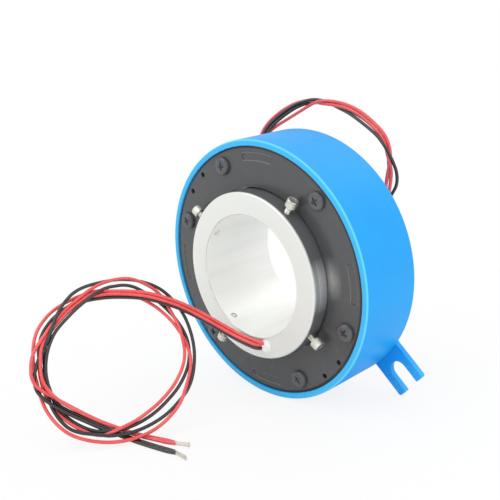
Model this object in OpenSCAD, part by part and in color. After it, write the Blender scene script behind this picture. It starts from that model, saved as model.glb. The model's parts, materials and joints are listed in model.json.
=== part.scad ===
// Through-bore slip ring: a blue housing that a torque fork keeps from turning, around a
// sleeve that is clamped on a shaft and carries two contact rings, with four stiff leads on
// each side. Millimetres. The bore axis is Y, the clamping flange faces -Y and +Z is up.
// The origin lies on the bore axis, in the plane of the housing's front rim. The housing
// stands on its rim and on a corner of the fork.
// Every module draws in ring coordinates: z runs along the bore axis towards the flange.

/* [Housing] */
// Outer diameter of the housing
housing_d = 170; // [169:0.5:172]
// Depth of the housing, from the front rim to the rear face
housing_depth = 46.8; // [46.6:0.1:47.4]
// Depth of the cover plate's face below the rim
cover_recess = 1.3; // [1:0.1:1.6]
// Thickness of the cover plate
cover_thick = 6; // [5.8:0.1:6]
// Diameter of the circle of the cover plate's screws
cover_pcd = 144; // [143:0.5:145]

/* [Rotor] */
// Bore of the sleeve
bore_d = 80; // [79:0.5:82]
// Outer diameter of the sleeve under the bearings
sleeve_d = 95; // [94.8:0.1:95]
// Diameter of the flange that faces the user
flange_d = 108; // [107:0.5:109]
// Height of the flange face above the rim
flange_z = 10.2; // [9.8:0.1:10.6]
// Diameter of the black clamping collar behind the flange
collar_d = 108.6; // [108:0.2:109]
// Diameter of a clamp screw
clamp_screw_d = 4; // [4:0.1:4.2]

/* [Torque fork] */
// Reach of the prongs from the bore axis
fork_reach = 109.6; // [108:0.2:112]
// Width across both prongs
fork_width = 24.6; // [24.2:0.1:26]
// Width of the slot between the prongs
fork_slot = 12.2; // [11.8:0.1:12.6]
// Thickness of the fork plate
fork_thick = 4; // [3.5:0.1:4.4]

/* [Leads] */
// Diameter of one lead over its insulation
lead_d = 2.2; // [2:0.1:2.2]
// Diameter of the middle line of the loose coil
coil_d = 96.8; // [94:0.2:98]

/* [Hidden] */
housing_r = housing_d / 2;
floor_y = -housing_r;
bore_r = bore_d / 2;
sleeve_r = sleeve_d / 2;
flange_r = flange_d / 2;
collar_r = collar_d / 2;
press = 0.03;               // radial play of a pressed seat
sleeve_back = -48.6;        // rear end of the sleeve

// housing and cover
rim_r = housing_r - 4;      // seat of the cover plate
rim_round = 1.4;            // rounding of the rim's outer edge
cavity_r = rim_r - 3.5;
cover_back = -cover_recess - cover_thick;
wall_front = 5.5 - housing_depth;
cover_hole_r = 55;
boss_r = 6.5;
screw_r = 3;                // M6 cover screws
screw_side = 23.3;          // angle of the outer cover screws from the pattern's line
SCREW_ANGLES = [-screw_side, screw_side, 90, 180 - screw_side, 180 + screw_side, 270];
tap_r = 1.65;               // M4 threaded holes in the cover plate
tap_ring_r = 76.4;
tap_side = 6.3;
TAP_ANGLES = [-tap_side, tap_side, 180 - tap_side, 180 + tap_side];
tap_depth = 5;
RECESS_ANGLES = [-48, 48, 132, 228];
recess_r = 74.2;
recess_half_w = 2.4;
recess_half_angle = 7.8;

// the fork turns so that a prong's corner and the rim touch the same floor
prong_corner = 1.5;
corner_a = fork_reach - prong_corner;
corner_b = fork_width / 2 - prong_corner;
fork_angle = -(asin((housing_r - prong_corner) / norm([corner_a, corner_b]))
               - atan2(corner_b, corner_a));
fork_root = 62;
slot_end = 97;              // centre of the slot's round end
fork_screw_at = [73, 7];
plate_angle = fork_angle - 1.1;     // line of the cover plate's hole pattern
fork_screw_r = 2.5;

// bearings and contact stack along the sleeve
bearing_w = 8;
bearing_r = 55.5;
ball_r = 2.5;
pitch_r = (sleeve_r + bearing_r) / 2;
ball_gap = 0.2;
ball_count = 24;
land = 1.3;                 // half of the gap between the two races
front_bearing = -7.4;       // front face of each bearing
end_barrier_w = 3.1;
mid_barrier_w = 3.9;
contact_w = 6;
barrier_r = 58.5;
contact_r = 56;
tube_r = 49.3;
stack_front = front_bearing - bearing_w;
ring_a_front = stack_front - end_barrier_w;
ring_b_front = ring_a_front - contact_w - mid_barrier_w;
stack_back = ring_b_front - contact_w - end_barrier_w;
rear_bearing = stack_back;
rear_lip = -45.7;
rear_lip_r = 50;
seat_r = 58.4;
groove_pitch = 1.5;         // each contact ring has two V grooves this far from its middle
groove_depth = 0.9;

// brush gear
BRUSH_ANGLES = [79.5, -100.5];
wire_r = 0.5;
wire_line = contact_r;      // distance of a wire's middle line from the axis
wire_spread = 25;
wire_front = 5;
wire_tail = -32;
block_in = 59.3;
block_out = 73.5;
block_half = 8;
block_front = -16.6;
block_screw_at = [69.5, 4.6];
block_screw_r = 1.5;

// clamp screws, each with the distance of its outer end from the axis
clamp_z = 4.6;
CLAMP = [[53, 64.2], [143, 63.8], [-37, 63.4], [-127, 64.2]];
clamp_len = 23.3;
clamp_head_r = 3.5;
clamp_head_h = 4.4;

// lead exits
rotor_exit_r = 45.7;
rotor_exit_angle = -77;
rotor_pocket_r = 3.7;
rotor_pocket_z = 4;
stator_exit_r = 62.4;
stator_exit_angle = 118;
stator_hole_r = 3.6;
slot_w = 7.2;               // groove in the sleeve for the inner leads
slot_r = 44.9;
inner_lead_r = 0.8;
brush_lead_r = 0.9;
brush_lead_z = -39.3;
gland_front = -41;          // front end of the rear lead exit

// free leads: four in each bundle
lead_r = lead_d / 2;
bundle_r = lead_r * (1 + sqrt(2));
tip_r = 0.75;
coil_centre = [-52, -40.9, 83.5];
coil_tilt = 66;
coil_turn = 40;
coil_half = [5.2, 4.2];     // half width and half thickness of the coiled bundle
ROTOR_ROUTE = [
    [9.5, -44.7, 13.2], [4, -44.1, 13.6], [-6.5, -43.1, 13.2], [-16, -41.3, 13.5],
    [-25.5, -36.3, 16.5], [-32, -30.7, 21.5], [-38.5, -25.5, 26.5], [-45, -20.8, 31.5],
    [-51.5, -16.5, 38], [-55.5, -12, 46], [-58.5, -8.8, 54], [-61.5, -6.5, 62],
    [-66, -5, 70], [-72.5, -4.5, 78], [-79, -6, 86]];
RED_TAILS = [
    [[-68, -50, 125], [-58, -57.5, 119], [-47.5, -64.5, 112.5], [-31.5, -73.2, 102.5],
     [-15.5, -79.7, 93], [1, -83.9, 83]],
    [[-69, -50, 128], [-57, -57.5, 121.7], [-45.5, -64.5, 115.5], [-28.5, -73.2, 106],
     [-12, -79.9, 97], [5, -83.9, 87.5]]];
BLACK_TAILS = [
    [[-67, -54, 129], [-57, -59, 124.5], [-48, -63.7, 119.8], [-30, -71.8, 111],
     [-10, -78.8, 101], [9.5, -83.9, 91]],
    [[-66, -56, 130.5], [-56, -60.5, 127], [-46, -65, 122.7], [-29, -72.5, 114],
     [-11, -79.3, 104.5], [8, -83.9, 94.8]]];
RED_TIPS = [[[1, -83.9, 83], [10.5, -83.9, 80]], [[5, -83.9, 87.5], [14.5, -83.9, 84.5]]];
BLACK_TIPS = [[[9.5, -83.9, 91], [18.5, -83.9, 90]], [[8, -83.9, 94.8], [17, -83.9, 94.3]]];
STATOR_ROUTE = [
    [-29.3, 55.1, -51], [-30, 55.6, -56], [-34.5, 57.5, -59.5], [-42, 62.5, -60],
    [-48, 70.5, -60.5], [-47.5, 79, -62.5], [-43, 84.5, -66], [-37.5, 89, -70],
    [-25.5, 95.5, -74], [-17, 98.3, -76], [-8, 99, -77], [7, 97, -78], [21.5, 92, -78],
    [35.5, 84.5, -77], [46.5, 75.5, -75], [52, 65.5, -73], [53, 56, -71], [52, 47, -69],
    [51, 36, -66], [50, 22, -64], [49, 6, -62], [47.5, -10, -61], [43.5, -27, -61],
    [37, -43, -62], [28, -57, -64], [18, -69, -68], [7, -78, -75], [-5, -82.3, -85],
    [-19, -82.3, -94.5]];

$fn = 64;

// ---- helpers ----

function arc(c, r, from, to, steps = 6) =
    [for (i = [0:steps]) let (a = from + (to - from) * i / steps)
        [c[0] + r * cos(a), c[1] + r * sin(a)]];

function polar(r, a, z) = [r * cos(a), r * sin(a), z];

function unit(v) = v / norm(v);

function tangents(p) =
    [for (i = [0:len(p) - 1]) unit(p[min(i + 1, len(p) - 1)] - p[max(i - 1, 0)])];

// side vectors carried along a route without twist
function sides(t, i, last) =
    i == len(t) ? [] : let (s = unit(last - (last * t[i]) * t[i])) concat([s], sides(t, i + 1, s));

// from ring coordinates to the part's frame
module place() {
    rotate([90, 0, 0]) children();
}

module at_fork(a = 0, b = 0, z = 0) {
    rotate([0, 0, fork_angle]) translate([a, b, z]) children();
}

module at_polar(r, a, z = 0) {
    rotate([0, 0, a]) translate([r, 0, z]) children();
}

// closed tube of eight sides along the points of a route
module tube(route, r) {
    t = tangents(route);
    s = sides(t, 0, abs(t[0][1]) > 0.9 ? [1, 0, 0] : [0, 1, 0.2]);
    n = 8;
    rings = len(route);
    points = [for (i = [0:rings - 1]) let (u = s[i], v = cross(t[i], u))
        for (k = [0:n - 1]) route[i] + r * (cos(360 * k / n) * u + sin(360 * k / n) * v)];
    walls = [for (i = [0:rings - 2], k = [0:n - 1])
        [i * n + k, (i + 1) * n + k, (i + 1) * n + (k + 1) % n, i * n + (k + 1) % n]];
    first = [[for (k = [0:n - 1]) k]];
    last = [[for (k = [n - 1:-1:0]) (rings - 1) * n + k]];
    polyhedron(points, concat(first, walls, last), convexity = 6);
}

module ring_solid(r_in, r_out, front, back) {
    translate([0, 0, back]) difference() {
        cylinder(r = r_out, h = front - back);
        translate([0, 0, -1]) cylinder(r = r_in, h = front - back + 2);
    }
}

// cross recess, cut from z = 0 downwards
module cross_recess(length, width, depth) {
    for (turn = [0, 90])
        rotate([0, 0, turn]) translate([-length / 2, -width / 2, -depth])
            cube([length, width, depth + 1]);
}

// pan head screw: the head's flat side at z = 0, the shank downwards
module pan_screw(head_r, head_h, shank_r, length) {
    difference() {
        union() {
            rotate_extrude($fn = 48)
                polygon(concat([[0, 0], [head_r, 0], [head_r, head_h * 0.35]],
                               arc([head_r - head_h * 0.65, head_h * 0.35], head_h * 0.65, 15, 90),
                               [[0, head_h]]));
            translate([0, 0, -length]) cylinder(r = shank_r, h = length + 0.1, $fn = 32);
        }
        translate([0, 0, head_h]) cross_recess(head_r * 1.1, head_r * 0.24, head_h * 0.6);
    }
}

// ---- housing ----

module housing_shell() {
    color([0.24, 0.66, 0.98]) place() difference() {
        union() {
            rotate_extrude($fn = 160) polygon(concat(
                [[rim_r + 0.4, 0], [rim_r, -0.4], [rim_r, cover_back], [cavity_r, cover_back],
                 [cavity_r, wall_front], [seat_r, wall_front], [seat_r, rear_bearing + 0.6],
                 [bearing_r + press, rear_bearing + 0.6], [bearing_r + press, rear_lip],
                 [rear_lip_r, rear_lip], [rear_lip_r, -housing_depth]],
                arc([housing_r - 1.2, 1.2 - housing_depth], 1.2, -90, 0),
                arc([housing_r - rim_round, -rim_round], rim_round, 0, 90)));
            for (a = SCREW_ANGLES)
                at_polar(cover_pcd / 2, a + plate_angle, wall_front - 1)
                    cylinder(r = boss_r, h = cover_back - wall_front + 1);
        }
        for (a = SCREW_ANGLES)
            at_polar(cover_pcd / 2, a + plate_angle, cover_back - 18)
                cylinder(r = screw_r, h = 20, $fn = 32);
        for (side = [-1, 1])
            at_fork(fork_screw_at[0], side * fork_screw_at[1], -housing_depth - 1)
                cylinder(r = fork_screw_r, h = 5.8, $fn = 32);
        at_polar(stator_exit_r, stator_exit_angle, -housing_depth - 1)
            cylinder(r = stator_hole_r, h = 8, $fn = 32);
        for (a = BRUSH_ANGLES, side = [-1, 1])
            rotate([0, 0, a]) translate([block_screw_at[0], side * block_screw_at[1], wall_front - 4])
                cylinder(r = block_screw_r, h = 5, $fn = 24);
    }
}

module arc_recess() {
    translate([0, 0, -0.5 - cover_recess]) {
        rotate([0, 0, -recess_half_angle]) rotate_extrude(angle = 2 * recess_half_angle)
            translate([recess_r - recess_half_w, 0]) square([2 * recess_half_w, 1]);
        for (end = [-1, 1])
            at_polar(recess_r, end * recess_half_angle) cylinder(r = recess_half_w, h = 1);
    }
}

module front_cover() {
    color([0.34, 0.35, 0.36]) place() difference() {
        rotate_extrude($fn = 160) polygon([
            [rim_r - 0.5, -cover_recess], [rim_r - 0.15, -cover_recess - 0.35],
            [rim_r - 0.15, cover_back], [59.5, cover_back], [59.5, stack_front + 0.2],
            [bearing_r + press, stack_front + 0.2], [bearing_r + press, front_bearing + 0.1],
            [cover_hole_r, front_bearing + 0.1], [cover_hole_r, -cover_recess]]);
        for (a = SCREW_ANGLES)
            at_polar(cover_pcd / 2, a + plate_angle, cover_back - 1)
                cylinder(r = screw_r + 0.3, h = 10, $fn = 32);
        for (a = TAP_ANGLES)
            at_polar(tap_ring_r, a + plate_angle, -cover_recess - tap_depth)
                cylinder(r = tap_r, h = tap_depth + 1, $fn = 32);
        for (a = RECESS_ANGLES)
            rotate([0, 0, a + plate_angle]) arc_recess();
    }
}

module cover_screws() {
    color([0.2, 0.2, 0.21]) place() for (a = SCREW_ANGLES)
        at_polar(cover_pcd / 2, a + plate_angle, -cover_recess)
            rotate([0, 0, a * 3]) pan_screw(6, 3.3, screw_r - 0.1, 20);
}

module torque_fork() {
    color([0.24, 0.66, 0.98]) place()
        at_fork(0, 0, -housing_depth - fork_thick) linear_extrude(fork_thick) difference() {
            union() {
                translate([fork_root, -fork_width / 2])
                    square([corner_a - fork_root, fork_width]);
                translate([fork_root, -corner_b]) square([fork_reach - fork_root, 2 * corner_b]);
                for (side = [-1, 1])
                    translate([corner_a, side * corner_b]) circle(r = prong_corner);
            }
            translate([slot_end, 0]) circle(r = fork_slot / 2);
            translate([slot_end, -fork_slot / 2]) square([30, fork_slot]);
            for (side = [-1, 1])
                translate([fork_screw_at[0], side * fork_screw_at[1]])
                    circle(r = fork_screw_r + 0.25, $fn = 32);
        }
}

module fork_screws() {
    color([0.75, 0.75, 0.72]) place() for (side = [-1, 1])
        at_fork(fork_screw_at[0], side * fork_screw_at[1], -housing_depth - fork_thick)
            rotate([180, 0, 20 * side]) pan_screw(4.5, 2.8, fork_screw_r - 0.1, fork_thick + 4.4);
}

// ---- bearings ----

module bearing_race(r_in, r_out, front) {
    rotate_extrude($fn = 120) difference() {
        translate([r_in, front - bearing_w]) square([r_out - r_in, bearing_w]);
        translate([pitch_r, front - bearing_w / 2]) circle(r = ball_r + ball_gap, $fn = 40);
    }
}

module outer_race(front) {
    color([0.72, 0.73, 0.74]) place() bearing_race(pitch_r + land, bearing_r, front);
}

module inner_race(front) {
    color([0.72, 0.73, 0.74]) place() bearing_race(sleeve_r + press, pitch_r - land, front);
}

module balls(front) {
    color([0.85, 0.86, 0.87]) place() for (i = [0:ball_count - 1])
        at_polar(pitch_r, 360 * i / ball_count, front - bearing_w / 2) sphere(r = ball_r, $fn = 32);
}

module cage(front) {
    color([0.75, 0.6, 0.35]) place() difference() {
        ring_solid(pitch_r - 0.9, pitch_r + 0.9, front - 0.7, front - bearing_w + 0.7);
        for (i = [0:ball_count - 1])
            rotate([0, 0, 360 * i / ball_count])
                translate([pitch_r - 3, 0, front - bearing_w / 2]) rotate([0, 90, 0])
                    cylinder(r = ball_r + ball_gap, h = 6, $fn = 32);
    }
}

// ---- rotor ----

module clamp_holes() {
    for (c = CLAMP)
        rotate([0, 0, c[0]]) translate([bore_r - 2, 0, clamp_z]) rotate([0, 90, 0])
            cylinder(r = clamp_screw_d / 2 + 0.05, h = 20, $fn = 32);
}

module lead_pocket() {
    at_polar(rotor_exit_r, rotor_exit_angle, rotor_pocket_z)
        cylinder(r = rotor_pocket_r, h = 20, $fn = 40);
}

module rotor_sleeve() {
    color([0.87, 0.89, 0.87]) place() difference() {
        rotate_extrude($fn = 160) polygon([
            [bore_r + 0.4, flange_z], [bore_r, flange_z - 0.4], [bore_r, sleeve_back + 0.4],
            [bore_r + 0.4, sleeve_back], [sleeve_r - 0.3, sleeve_back],
            [sleeve_r, sleeve_back + 0.3], [sleeve_r, -48], [sleeve_r - 1.5, -48],
            [sleeve_r - 1.5, -47], [sleeve_r, -47], [sleeve_r, flange_z - 1.5],
            [flange_r, flange_z - 1.5], [flange_r, flange_z - 0.7], [flange_r - 0.7, flange_z]]);
        clamp_holes();
        lead_pocket();
        rotate([0, 0, rotor_exit_angle]) translate([slot_r, -slot_w / 2, ring_b_front - 4.5])
            cube([6, slot_w, rotor_pocket_z - ring_b_front + 5.5]);
    }
}

module rotor_collar() {
    color([0.2, 0.2, 0.22]) place() difference() {
        rotate_extrude($fn = 160) polygon([
            [sleeve_r + press, front_bearing], [pitch_r - land, front_bearing],
            [pitch_r - land, front_bearing + 0.9], [collar_r - 0.3, front_bearing + 0.9],
            [collar_r, front_bearing + 1.2], [collar_r, flange_z - 1.5],
            [sleeve_r + press, flange_z - 1.5]]);
        clamp_holes();
        lead_pocket();
    }
}

module clamp_screws() {
    color([0.78, 0.77, 0.71]) place() for (c = CLAMP)
        rotate([0, 0, c[0]]) translate([c[1], 0, clamp_z]) rotate([0, -90, 0]) difference() {
            union() {
                rotate_extrude($fn = 40) polygon([
                    [0, 0], [clamp_head_r - 0.4, 0], [clamp_head_r, 0.4],
                    [clamp_head_r, clamp_head_h], [0, clamp_head_h]]);
                cylinder(r = clamp_screw_d / 2, h = clamp_len, $fn = 32);
            }
            translate([0, 0, -1]) cylinder(r = 1.75, h = 3.4, $fn = 6);
        }
}

module insulating_tube() {
    color([0.55, 0.33, 0.2]) place() difference() {
        ring_solid(sleeve_r + press, tube_r, stack_front, stack_back);
        for (w = RING_LEADS)
            rotate([0, 0, rotor_exit_angle]) translate([sleeve_r - 1, w[0], w[1]])
                rotate([0, 90, 0]) cylinder(r = inner_lead_r + 0.3, h = 4, $fn = 24);
    }
}

// each inner lead: its place across the groove, and the middle of its contact ring
RING_LEADS = [[-0.9, ring_a_front - contact_w / 2], [0.9, ring_a_front - contact_w / 2],
              [-2.7, ring_b_front - contact_w / 2], [2.7, ring_b_front - contact_w / 2]];

module contact_ring(front) {
    mid = front - contact_w / 2;
    color([0.85, 0.68, 0.3]) place() difference() {
        rotate_extrude($fn = 120) polygon([
            [tube_r + press, front], [tube_r + press, front - contact_w],
            [contact_r, front - contact_w],
            [contact_r, mid - groove_pitch - groove_depth],
            [contact_r - groove_depth, mid - groove_pitch],
            [contact_r, mid - groove_pitch + groove_depth],
            [contact_r, mid + groove_pitch - groove_depth],
            [contact_r - groove_depth, mid + groove_pitch],
            [contact_r, mid + groove_pitch + groove_depth],
            [contact_r, front]]);
        for (w = RING_LEADS)
            if (abs(w[1] - mid) < 1)
                rotate([0, 0, rotor_exit_angle]) translate([tube_r - 1, w[0], w[1]])
                    rotate([0, 90, 0]) cylinder(r = inner_lead_r + 0.2, h = 2.6, $fn = 24);
    }
}

module ring_barriers() {
    hub = tube_r + 1.4;
    step = 1;
    color([0.55, 0.33, 0.2]) place() {
        rotate_extrude($fn = 120) polygon([
            [tube_r + press, stack_front], [hub, stack_front], [hub, stack_front - step],
            [barrier_r, stack_front - step], [barrier_r, ring_a_front],
            [tube_r + press, ring_a_front]]);
        ring_solid(tube_r + press, barrier_r, ring_a_front - contact_w, ring_b_front);
        rotate_extrude($fn = 120) polygon([
            [tube_r + press, stack_back], [hub, stack_back], [hub, stack_back + step],
            [barrier_r, stack_back + step], [barrier_r, ring_b_front - contact_w],
            [tube_r + press, ring_b_front - contact_w]]);
    }
}

module ring_leads() {
    lead_line = slot_r + inner_lead_r + 0.4;
    color([0.8, 0.2, 0.2]) place() rotate([0, 0, rotor_exit_angle]) for (w = RING_LEADS) {
        translate([lead_line, w[0], w[1]]) {
            cylinder(r = inner_lead_r, h = rotor_pocket_z + 3 - w[1], $fn = 24);
            sphere(r = inner_lead_r, $fn = 24);
            rotate([0, 90, 0])
                cylinder(r = inner_lead_r, h = tube_r + 1.2 - lead_line, $fn = 24);
        }
    }
}

module rear_spacer() {
    color([0.72, 0.73, 0.74]) place()
        ring_solid(sleeve_r + press, tube_r, rear_bearing - bearing_w, -47);
}

module retaining_ring() {
    gap = 12;
    color([0.3, 0.3, 0.31]) place() translate([0, 0, -47.95]) difference() {
        union() {
            rotate([0, 0, 90 + gap]) rotate_extrude(angle = 360 - 2 * gap, $fn = 120)
                translate([sleeve_r - 1.4, 0]) square([3.4, 0.9]);
            for (side = [-1, 1])
                at_polar(49, 90 + side * gap) cylinder(r = 2.3, h = 0.9, $fn = 32);
        }
        for (side = [-1, 1])
            at_polar(49.2, 90 + side * gap, -1) cylinder(r = 0.9, h = 3, $fn = 24);
        translate([0, 0, -1]) cylinder(r = sleeve_r - 1.4, h = 3, $fn = 120);
    }
}

// ---- brush gear ----

// four wires of one block: two for each contact ring, one to either side
module brush_wires_at(angle, r) {
    for (front = [ring_a_front, ring_b_front], side = [-1, 1])
        rotate([0, 0, angle + side * wire_spread])
            translate([wire_line, side > 0 ? wire_front : -wire_front,
                       front - contact_w / 2 + side * groove_pitch])
                rotate([side * 90, 0, 0])
                    cylinder(r = r, h = wire_front - wire_tail, $fn = 24);
}

module brush_block(angle) {
    color([0.13, 0.14, 0.16]) place() difference() {
        rotate([0, 0, angle]) difference() {
            translate([block_in, -block_half, wall_front])
                cube([block_out - block_in, 2 * block_half, block_front - wall_front]);
            for (side = [-1, 1])
                translate([block_screw_at[0], side * block_screw_at[1], wall_front - 1])
                    cylinder(r = block_screw_r + 0.15, h = 40, $fn = 24);
        }
        brush_wires_at(angle, wire_r + 0.03);
    }
}

module brush_wires(angle) {
    color([0.86, 0.7, 0.35]) place() brush_wires_at(angle, wire_r);
}

module brush_block_screws() {
    color([0.75, 0.75, 0.72]) place() for (a = BRUSH_ANGLES, side = [-1, 1])
        rotate([0, 0, a]) translate([block_screw_at[0], side * block_screw_at[1], block_front])
            pan_screw(2.6, 1.9, block_screw_r - 0.05, block_front - wall_front + 3.6);
}

// from the two brush blocks round the back of the cavity to the rear lead exit
module brush_leads() {
    steps = 8;
    color([0.8, 0.2, 0.2]) place()
        for (span = [[87.2, 116.8], [251.5, 119.2]], side = [-1.1, 1.1]) {
            line_r = stator_exit_r + side;
            bend = (span[0] - span[1]) / 60;
            tube(concat([for (i = [0:steps - 1])
                            polar(line_r, span[0] + (span[1] + bend - span[0]) * i / (steps - 1),
                                  brush_lead_z)],
                        [polar(line_r, span[1], brush_lead_z - 0.6),
                         polar(line_r, span[1], gland_front + 0.05)]), brush_lead_r);
        }
}

// ---- free leads ----

module rotor_lead_grommet() {
    color([0.96, 0.95, 0.94]) place() at_polar(rotor_exit_r, rotor_exit_angle)
        rotate_extrude($fn = 48) polygon([
            [0, flange_z - 3], [rotor_pocket_r - 0.1, flange_z - 3],
            [rotor_pocket_r - 0.1, flange_z], [4.2, flange_z], [4.2, flange_z + 0.7],
            [3.8, flange_z + 1.1], [3.2, flange_z + 1.4], [2.9, flange_z + 2.4],
            [0, flange_z + 2.4]]);
}

module rotor_leads() {
    color([0.8, 0.2, 0.2]) place() tube(ROTOR_ROUTE, bundle_r);
}

module rotor_lead_coil() {
    color([0.75, 0.2, 0.2]) place() translate(coil_centre) rotate([0, coil_tilt, coil_turn])
        rotate_extrude($fn = 72) translate([coil_d / 2, 0])
            polygon([for (a = [0:30:330]) [coil_half[0] * cos(a), coil_half[1] * sin(a)]]);
}

module rotor_tails_red() {
    color([0.8, 0.2, 0.2]) place() for (route = RED_TAILS) tube(route, lead_r);
}

module rotor_tails_black() {
    color([0.15, 0.15, 0.16]) place() for (route = BLACK_TAILS) tube(route, lead_r);
}

module rotor_lead_tips() {
    color([0.8, 0.8, 0.76]) place() for (route = concat(RED_TIPS, BLACK_TIPS)) tube(route, tip_r);
}

module stator_lead_grommet() {
    back = -housing_depth;
    color([0.96, 0.95, 0.94]) place() at_polar(stator_exit_r, stator_exit_angle)
        rotate_extrude($fn = 48) polygon([
            [0, gland_front], [stator_hole_r - 0.05, gland_front], [stator_hole_r - 0.05, back],
            [4.6, back], [4.6, back - 0.8], [4.2, back - 1.2], [3.5, back - 1.4],
            [3, -51], [0, -51]]);
}

module stator_leads() {
    color([0.8, 0.2, 0.2]) place() tube(STATOR_ROUTE, bundle_r);
}

module stator_lead_tips() {
    last = STATOR_ROUTE[len(STATOR_ROUTE) - 1];
    along = unit(last - STATOR_ROUTE[len(STATOR_ROUTE) - 2]);
    across = cross(along, [0, 1, 0]);
    color([0.8, 0.8, 0.76]) place() for (u = [-1, 1], v = [-1, 1]) {
        start = last + u * lead_r * across + [0, v * lead_r, 0];
        tube([start, start + (v > 0 ? 8 : 9) * along], tip_r);
    }
}

housing_shell();
front_cover();
cover_screws();
torque_fork();
fork_screws();
outer_race(front_bearing);  // front_bearing_outer_race
outer_race(rear_bearing);  // rear_bearing_outer_race
inner_race(front_bearing);  // front_bearing_inner_race
inner_race(rear_bearing);  // rear_bearing_inner_race
balls(front_bearing);  // front_bearing_balls
balls(rear_bearing);  // rear_bearing_balls
cage(front_bearing);  // front_bearing_cage
cage(rear_bearing);  // rear_bearing_cage
rotor_sleeve();
rotor_collar();
clamp_screws();
insulating_tube();
contact_ring(ring_a_front);  // contact_ring_a
contact_ring(ring_b_front);  // contact_ring_b
ring_barriers();
ring_leads();
rear_spacer();
retaining_ring();
brush_block(BRUSH_ANGLES[0]);  // brush_block_upper
brush_block(BRUSH_ANGLES[1]);  // brush_block_lower
brush_wires(BRUSH_ANGLES[0]);  // brush_wires_upper
brush_wires(BRUSH_ANGLES[1]);  // brush_wires_lower
brush_block_screws();
brush_leads();
rotor_lead_grommet();
rotor_leads();
rotor_lead_coil();
rotor_tails_red();
rotor_tails_black();
rotor_lead_tips();
stator_lead_grommet();
stator_leads();
stator_lead_tips();
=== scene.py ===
# %% [markdown]
# # Through-bore slip ring
#
# A slip ring carries current between a machine that stands still and a shaft that turns.
# This one is clamped round an 80 mm shaft. The sleeve in the middle turns with the shaft and
# holds two contact rings. The blue housing runs on it in two ball bearings, and a fork keeps
# the housing from turning. Four leads come out of the turning flange, and four out of the
# housing's back.
#
# The solids come from the part's own source. This script gives them their finish, rounds
# their edges, and adds what is too fine for the source: threads, knurls, recesses and the
# separate leads.

# %% Load the part
import json
import math
import bmesh
import bpy
import numpy as np
from mathutils import Matrix, Vector

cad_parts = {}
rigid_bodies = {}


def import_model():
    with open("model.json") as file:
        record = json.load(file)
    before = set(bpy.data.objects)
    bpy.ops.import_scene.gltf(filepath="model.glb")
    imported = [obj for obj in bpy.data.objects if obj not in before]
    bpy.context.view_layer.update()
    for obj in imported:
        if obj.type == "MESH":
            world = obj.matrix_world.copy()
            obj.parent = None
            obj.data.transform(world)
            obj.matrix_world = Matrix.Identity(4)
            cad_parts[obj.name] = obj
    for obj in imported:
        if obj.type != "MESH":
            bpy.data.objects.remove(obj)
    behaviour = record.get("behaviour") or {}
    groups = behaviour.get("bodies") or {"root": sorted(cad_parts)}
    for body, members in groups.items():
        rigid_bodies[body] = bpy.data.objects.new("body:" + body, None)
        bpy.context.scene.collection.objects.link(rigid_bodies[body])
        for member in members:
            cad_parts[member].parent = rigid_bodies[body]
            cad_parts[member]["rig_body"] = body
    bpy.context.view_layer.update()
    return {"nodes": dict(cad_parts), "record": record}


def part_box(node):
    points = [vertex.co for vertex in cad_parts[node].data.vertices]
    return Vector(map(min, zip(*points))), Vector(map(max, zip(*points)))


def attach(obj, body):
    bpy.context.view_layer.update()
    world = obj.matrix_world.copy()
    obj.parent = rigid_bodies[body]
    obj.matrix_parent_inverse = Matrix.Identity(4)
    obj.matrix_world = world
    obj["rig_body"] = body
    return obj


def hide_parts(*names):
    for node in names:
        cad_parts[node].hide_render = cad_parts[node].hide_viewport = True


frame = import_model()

record = frame["record"]
slot_of = {part["node"]: part["material_slot"] for part in record["subparts"]}
print("nodes:", len(slot_of))

# %% [markdown]
# ## One frame for every piece
#
# The bore axis is Y. It is easier to think of the object as seen from its flange: x to the
# right, y up and z out of the flange, in millimetres from the bore axis and the housing's
# front rim. `at` turns such a point into the part's own frame in metres. `polar` does the
# same for a distance and an angle round the bore.

# %% Points in millimetres
MM = 0.001
TO_FRAME = Matrix(((1, 0, 0), (0, 0, -1), (0, 1, 0)))


def at(x, y, z):
    return TO_FRAME @ Vector((x, y, z)) * MM


def polar(radius, degrees, z):
    turn = math.radians(degrees)
    return at(radius * math.cos(turn), radius * math.sin(turn), z)


floor_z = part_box("housing_shell")[0].z
print("the housing stands at", round(floor_z, 4))

# %% [markdown]
# ## Camera
#
# The object is seen from its right and a little from above, from half a metre away. The
# camera is tipped a few degrees about its own line of sight, so the bore axis runs down to
# the left.

# %% Aim the camera


def aim(thing, target, azimuth, elevation, distance, roll=0.0):
    """Place thing at a distance from target and point it there; azimuth 0 is the front."""
    a, e, r = (math.radians(v) for v in (azimuth, elevation, roll))
    back = Vector((math.sin(a) * math.cos(e), -math.cos(a) * math.cos(e), math.sin(e)))
    level = Vector((math.cos(a), math.sin(a), 0))
    above = back.cross(level)
    right = level * math.cos(r) - above * math.sin(r)
    up = back.cross(right)
    pose = Matrix((right, up, back)).transposed().to_4x4()
    pose.translation = Vector(target) + back * distance
    thing.matrix_world = pose


CAMERA_TARGET = (0, -0.0069, 0.0167)
CAMERA_AZIMUTH, CAMERA_ELEVATION, CAMERA_ROLL = 46.91, 14.92, 5.55
CAMERA_DISTANCE = 0.5

scene = bpy.context.scene
lens = bpy.data.cameras.new("camera")
lens.lens = 57.6
lens.sensor_width = 36
lens.clip_start = 0.01
camera = bpy.data.objects.new("camera", lens)
scene.collection.objects.link(camera)
scene.camera = camera
aim(camera, CAMERA_TARGET, CAMERA_AZIMUTH, CAMERA_ELEVATION, CAMERA_DISTANCE, CAMERA_ROLL)
print("camera at", [round(v, 3) for v in camera.matrix_world.translation])

# %% [markdown]
# ## Stage
#
# A pale floor under a white surround, as in a light tent. The surround gives most of the
# light, so the paint looks even, and the large lamps only add soft, wide highlights. The
# floor is white to the camera, apart from the shade under the object: part of its light is
# its own, and this part grows with the distance until the floor's far edge can't be seen.

# %% Floor, surround and lamps


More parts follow.
